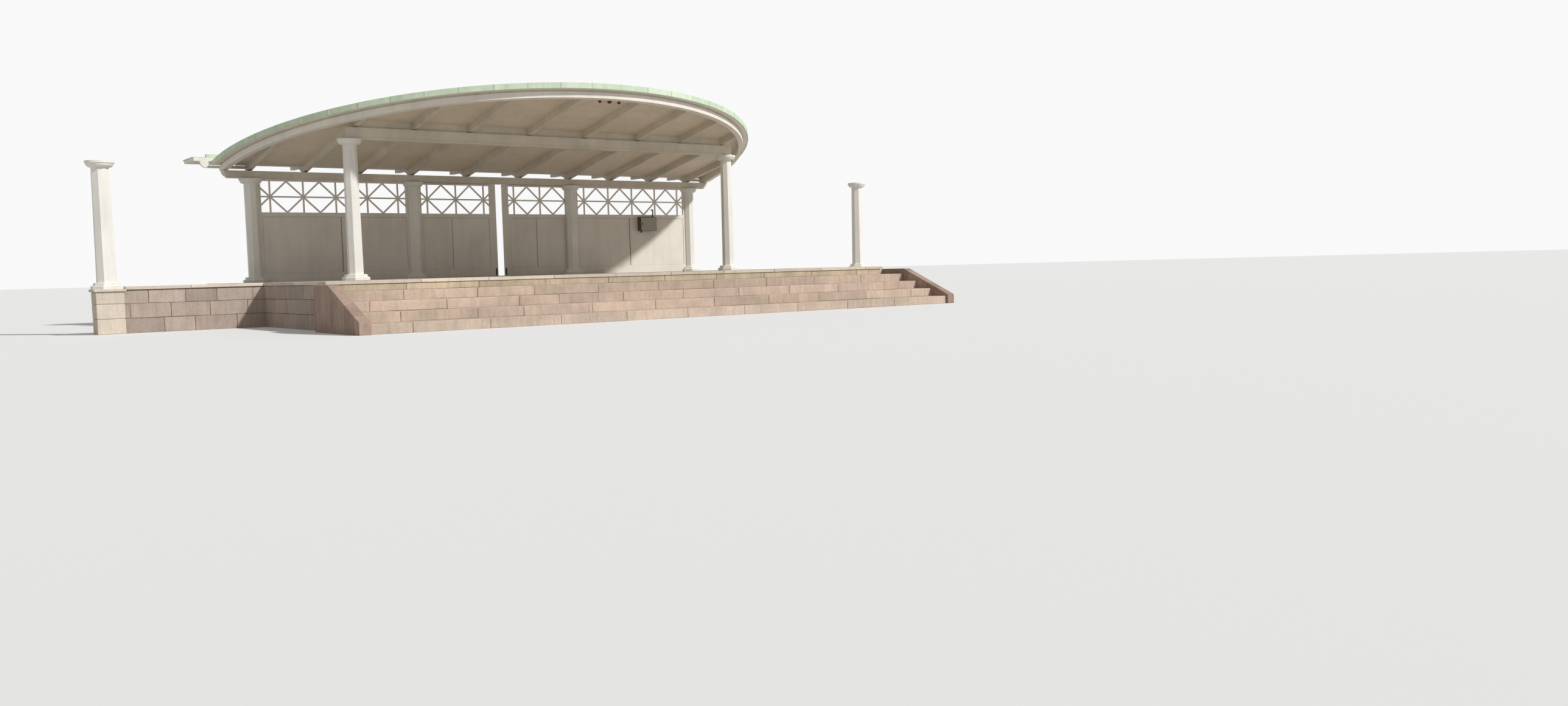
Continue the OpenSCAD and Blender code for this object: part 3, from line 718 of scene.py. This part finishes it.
def seam_roof():
    """Standing seams that run down the roof, and flat cross seams between them."""
    back, foot = ROOF_BACK - 0.003, METAL_TOP - 0.021
    count = math.floor((EDGE_R - 0.3) / SHEET_W)
    reach = EDGE_R - RIM_W - 0.003
    cross_w, sheet_length, shortest = 0.012, 1.7, 0.3
    bm = bmesh.new()

    def front(x0, x1):
        """Where the rim ends the metal between two places along the wall."""
        return ROOF_CENTRE.y - math.sqrt(max(reach ** 2 - max(x0 ** 2, x1 ** 2), 0))

    for i in range(-count, count + 1):
        x = i * SHEET_W
        y = front(x - cross_w, x + cross_w)
        add_strip(bm, x, SEAM_W, (y, back), (foot, METAL_TOP + 0.003), 0.003, 2)
        add_strip(bm, x, WELT_W, (y, back), (foot, foot + WELT_H))
        cross = back - rng.uniform(0.7, 1.6)
        edge = front(x + 0.03, x + SHEET_W - 0.03)
        while i < count and cross > edge + shortest:
            add_box(bm, (x + SEAM_W / 2, cross - cross_w, foot),
                    (x + SHEET_W - SEAM_W / 2, cross, foot + WELT_H))
            cross -= sheet_length
    bmesh.ops.transform(bm, matrix=TILT, verts=bm.verts)
    new_piece("roof_seams", bm, copper)


def seam_eave():
    """Seams across the level eave, turned down over its edge, and a strip along that edge."""
    low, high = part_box("eave_metal")
    metal_t, seam_h, tail_w = 0.018, 0.024, 0.022
    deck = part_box("rear_eave")[1].z + metal_t
    y0, y1 = low.y + 0.08, high.y + 0.004
    bm = bmesh.new()
    for x in spaced(low.x, high.x, SHEET_W, 0.2)[1:-1]:
        add_strip(bm, x, SEAM_W, (y0, y1), (deck, deck + seam_h), 0.003, 2)
        add_strip(bm, x, WELT_W, (y0, high.y + 0.003), (deck, deck + WELT_H))
        add_strip(bm, x, tail_w, (high.y, y1), (deck - metal_t, deck))
    add_box(bm, (low.x - 0.003, high.y, deck - 0.03), (high.x + 0.003, high.y + 0.005, deck + 0.003),
            0.002)
    new_piece("eave_seams", bm, copper)


clad_edge()
seam_roof()
seam_eave()


# Fittings
DOOR_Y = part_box("left_door_panel")[0].y


def fit_doors():
    """On each door a drop bolt let into the foot of the meeting stile.

    It stands less than 10 mm proud, so that it passes behind the middle post.
    """
    foot = FLOOR_Z + 0.022
    plate_w, plate_h, rod_r = 0.04, 0.16, 0.007
    strap_w, strap_h, knob_w, knob_h = 0.034, 0.018, 0.01, 0.012
    for name, x in (("left", -0.014), ("right", 0.238)):
        bm = bmesh.new()
        add_strip(bm, x, plate_w, (DOOR_Y - 0.003, DOOR_Y + 0.001), (foot, foot + plate_h), 0.001)
        add_rod(bm, (x, DOOR_Y, foot - 0.008), (x, DOOR_Y, foot + plate_h + 0.02), rod_r)
        for z in (foot + 0.02, foot + 0.075, foot + 0.13):
            add_strip(bm, x, strap_w, (DOOR_Y - 0.0085, DOOR_Y - 0.002), (z, z + strap_h), 0.002, 2)
        z = foot + 0.105
        add_strip(bm, x, knob_w, (DOOR_Y - 0.009, DOOR_Y - 0.004), (z, z + knob_h), 0.001)
        new_piece(f"{name}_door_bolt", bm, dark_iron, f"{name}_door")


def fit_switch_box():
    """The switch box's cover with two hinges, its lid, the gland under it and its lock."""
    low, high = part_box("switch_box")
    front, top = low.y, low.z + 0.35
    margin, cover_t, hinge_r, hinge_h = 0.006, 0.012, 0.007, 0.06
    bm = bmesh.new()
    add_box(bm, (low.x + margin, front - cover_t, low.z + margin),
            (high.x - margin, front, top - margin), 0.004, 2)
    x, y = high.x - 0.004, front - 0.008
    for z in (low.z + 0.07, top - 0.07):
        add_rod(bm, (x, y, z - hinge_h / 2), (x, y, z + hinge_h / 2), hinge_r)
    new_piece("box_cover", bm, box_steel)
    # The lid is dark: painted shade on the top of the box, over its dark brown body.
    bm = bmesh.new()
    add_box(bm, (low.x - margin, front - 0.02, top), (high.x + margin, high.y - 0.08, top + 0.006),
            0.002)
    x, y = low.x + 0.055, (front + high.y) / 2 - 0.03
    gland_r, nut_r, lock_r = 0.021, 0.028, 0.008
    add_rod(bm, (x, y, low.z - 0.045), (x, y, low.z + 0.002), gland_r, 20)
    add_rod(bm, (x, y, low.z - 0.014), (x, y, low.z), nut_r, 6)
    new_piece("box_lid_and_gland", bm, dark_steel)
    bm = bmesh.new()
    x, z = low.x + 0.045, low.z + 0.176
    add_strip(bm, x, 0.022, (front - 0.017, front - 0.011), (z - 0.03, z + 0.03), 0.002)
    add_rod(bm, (x, front - 0.024, z + 0.008), (x, front - 0.012, z + 0.008), lock_r)
    new_piece("box_lock", bm, dark_iron)


def fit_lights():
    """Three small round lamps under the ceiling: a rusty ball on a neck, its dark glass forward."""
    low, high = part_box("ceiling_lights")
    radii = (0.034, 0.048, 0.034)
    places = (low.x + radii[0], (low.x + high.x) / 2, high.x - radii[2])
    facing = Vector((-0.42, -0.86, -0.28)).normalized()
    # Back, front and radius, as shares of the ball's radius
    rim, glass = (0.7, 1.06, 0.72), (0.9, 1.09, 0.46)

    def add_disc(bm, centre, radius, shape, segments):
        back, front, width = (share * radius for share in shape)
        add_rod(bm, centre + back * facing, centre + front * facing, width, segments)

    balls, glasses = bmesh.new(), bmesh.new()
    for x, radius in zip(places, radii):
        centre = Vector((x, (low.y + high.y) / 2, low.z + radius))
        bmesh.ops.create_uvsphere(balls, u_segments=32, v_segments=16, radius=radius,
                                  matrix=Matrix.Translation(centre))
        add_rod(balls, centre, centre + Vector((0, 0, radius + 0.012)), 0.4 * radius, 20)
        add_disc(balls, centre, radius, rim, 32)
        add_disc(glasses, centre, radius, glass, 28)
    new_piece("light_balls", balls, lamp_rust, replaced=("ceiling_lights",))
    new_piece("light_glasses", glasses, dark_iron)


def line_panels():
    """Dark strips of painted shade in the gaps round the sunk panels, and in the joint down each of
    them.

    Each row gives the board's body and stile, then the joint's right edge and width.
    """
    rail, foot, gap, sink, proud = 0.095, 0.19, 0.005, 0.008, 0.0025
    for name, body, stile, joint_x, joint_w in (
            ("left_bay_wall", "bandstand", 0.062, 0.093, 0.014),
            ("right_bay_wall", "bandstand", 0.062, -0.087, 0.014),
            ("left_door_panel", "left_door", 0.18, -0.117, 0.005),
            ("right_door_panel", "right_door", 0.18, -0.117, 0.005)):
        low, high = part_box(name)
        x0, x1 = low.x + stile, high.x - stile
        z0, z1 = low.z + foot, high.z - rail
        joint = (low.x + high.x) / 2 + joint_x
        bm = bmesh.new()
        for y0, y1 in ((low.y + sink - proud, low.y + sink), (high.y - sink, high.y - sink + proud)):
            for a, b in ((x0, x0 + gap), (x1 - gap, x1)):
                add_box(bm, (a, y0, z0), (b, y1, z1))
            for a, b in ((z0, z0 + 0.5 * gap), (z1 - gap, z1)):
                add_box(bm, (x0 + gap, y0, a), (x1 - gap, y1, b))
            add_box(bm, (joint - joint_w, y0, z0 + gap), (joint, y1, z1 - gap))
        new_piece(f"{name}_gaps", bm, gap_shade, body)


fit_doors()
fit_switch_box()
fit_lights()
line_panels()


# Ground and light: the directions point at the lamps, and the key lamp is where the sun was
KEY_FROM, KEY_STRENGTH, KEY_DEGREES = (0.399, -0.675, 0.621), 3.0, 3
FILL_FROM, FILL_STRENGTH, FILL_DEGREES = (-0.7, -0.6, 0.35), 0.12, 60
SKY_LIGHT, SKY_SEEN = 0.28, 0.95
GROUND_LIT, GROUND_SEEN = (0.66, 0.655, 0.64, 1), (0.86, 0.86, 0.85, 1)


def place_ground():
    """A wide disc that the camera sees paler than the light that it throws back."""
    mesh = bpy.data.meshes.new("ground")
    bm = bmesh.new()
    bmesh.ops.create_circle(bm, cap_ends=True, radius=400, segments=64)
    bm.to_mesh(mesh)
    bm.free()
    ground = bpy.data.objects.new("ground", mesh)
    bpy.context.scene.collection.objects.link(ground)
    material, tree, shader = new_material("ground")
    seen = tree.nodes.new("ShaderNodeLightPath").outputs["Is Camera Ray"]
    set_inputs(tree, shader, Base_Color=mix(tree, seen, GROUND_LIT, GROUND_SEEN), Roughness=0.95)
    mesh.materials.append(material)


def place_lamp(name, direction, strength, degrees):
    data = bpy.data.lights.new(name, "SUN")
    data.energy = strength
    data.angle = math.radians(degrees)
    lamp = bpy.data.objects.new(name, data)
    lamp.rotation_euler = Vector(direction).to_track_quat("Z", "Y").to_euler()
    bpy.context.scene.collection.objects.link(lamp)


def light_world():
    """A plain sky that the camera, metal and glass see brighter than the light it gives."""
    world = bpy.data.worlds.new("world")
    bpy.context.scene.world = world
    world.use_nodes = True
    tree = world.node_tree
    tree.nodes.clear()
    path = tree.nodes.new("ShaderNodeLightPath").outputs
    seen = maths(tree, "MAXIMUM", path["Is Camera Ray"], path["Is Glossy Ray"])
    seen = maths(tree, "MAXIMUM", seen, path["Is Transmission Ray"])
    background = add_node(tree, "ShaderNodeBackground", Color=(1, 1, 1, 1),
                          Strength=ramp(tree, seen, 0, 1, SKY_LIGHT, SKY_SEEN))
    out = tree.nodes.new("ShaderNodeOutputWorld")
    tree.links.new(background.outputs["Background"], out.inputs["Surface"])


place_ground()
place_lamp("key", KEY_FROM, KEY_STRENGTH, KEY_DEGREES)
place_lamp("fill", FILL_FROM, FILL_STRENGTH, FILL_DEGREES)
light_world()
bpy.context.scene.view_settings.view_transform = "Standard"
